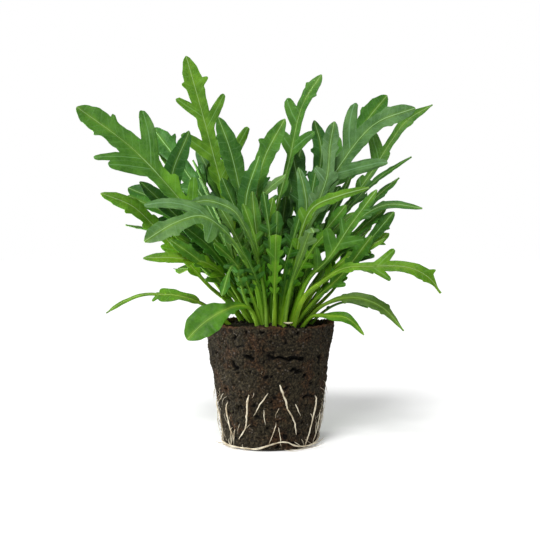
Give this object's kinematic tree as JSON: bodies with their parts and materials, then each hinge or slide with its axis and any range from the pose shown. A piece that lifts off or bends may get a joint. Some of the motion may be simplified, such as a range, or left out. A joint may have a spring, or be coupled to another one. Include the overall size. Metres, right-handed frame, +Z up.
{
  "type": "potted arugula plant",
  "caption": "Clump of long-stalked, deeply lobed salad leaves rising from a tapered cup of pressed peat, with fine pale roots grown out through its lower wall.",
  "frame": {"origin": "middle of the pot's flat base, which stands on the table", "axes": "+Z up along the pot's axis, -Y towards the viewer, +X to the viewer's right"},
  "size_m": [0.1623, 0.1062, 0.1786],
  "materials": {
    "peat": "rough pressed peat fibre",
    "soil": "loose dark potting soil",
    "root": "smooth pale root",
    "leaf_fresh": "soft satin leaf, bright green",
    "leaf_mid": "soft satin leaf, mid green",
    "leaf_dark": "soft satin leaf, dark green",
    "leaf_grey": "matt leaf, grey green"
  },
  "bodies": {
    "root": {"peat_pot": "peat", "soil": "soil", "leaf_left_longest": "leaf_mid", "leaf_top_left": "leaf_fresh", "leaf_upper_left_dark": "leaf_dark", "leaf_left_behind": "leaf_dark", "leaf_left_folded": "leaf_dark", "leaf_left_mid": "leaf_fresh", "leaf_left_back_thin": "leaf_mid", "leaf_left_back_small": "leaf_fresh", "leaf_left_level": "leaf_fresh", "leaf_left_low_long": "leaf_fresh", "leaf_front_left_arching": "leaf_grey", "leaf_front_left_spoon": "leaf_mid", "leaf_centre_round": "leaf_dark", "leaf_centre_toothed": "leaf_mid", "leaf_top_right": "leaf_mid", "leaf_centre_dark": "leaf_grey", "leaf_front_small": "leaf_fresh", "leaf_front_towards": "leaf_grey", "leaf_front_right_lobed": "leaf_mid", "leaf_right_level": "leaf_fresh", "leaf_right_lowest": "leaf_mid", "leaf_right_low_arching": "leaf_grey", "leaf_right_low_thin": "leaf_dark", "leaf_right_arching": "leaf_dark", "leaf_right_edgewise": "leaf_dark", "leaf_right_far": "leaf_mid", "leaf_upper_right": "leaf_grey", "leaf_upper_right_front": "leaf_grey", "leaf_upper_right_behind": "leaf_mid", "leaf_top_centre_dark": "leaf_dark", "leaf_right_back_mid": "leaf_dark", "leaf_right_thin": "leaf_mid", "leaf_right_back_low": "leaf_fresh", "leaf_front_bright": "leaf_fresh", "leaf_centre_left_level": "leaf_grey", "leaf_centre_young": "leaf_mid", "leaf_back_centre_low": "leaf_mid", "leaf_back_left_low": "leaf_fresh", "leaf_back_low_left": "leaf_mid", "leaf_back_low_right": "leaf_fresh", "leaf_back_right_low": "leaf_mid", "leaf_back_left_mid": "leaf_dark", "leaf_back_mid": "leaf_mid", "leaf_back_right_mid": "leaf_dark", "leaf_back_left_upright": "leaf_mid", "leaf_back_upright": "leaf_dark", "leaf_back_right_upright": "leaf_mid", "leaf_back_left_spread": "leaf_fresh", "leaf_back_right_spread": "leaf_fresh", "root_front_left": "root", "root_front_upper": "root", "root_front_short": "root", "root_front_long": "root", "root_front_right_short": "root", "root_front_slant": "root", "root_back_long": "root", "root_back_side": "root", "root_mat": "root"}
  },
  "joints": []
}
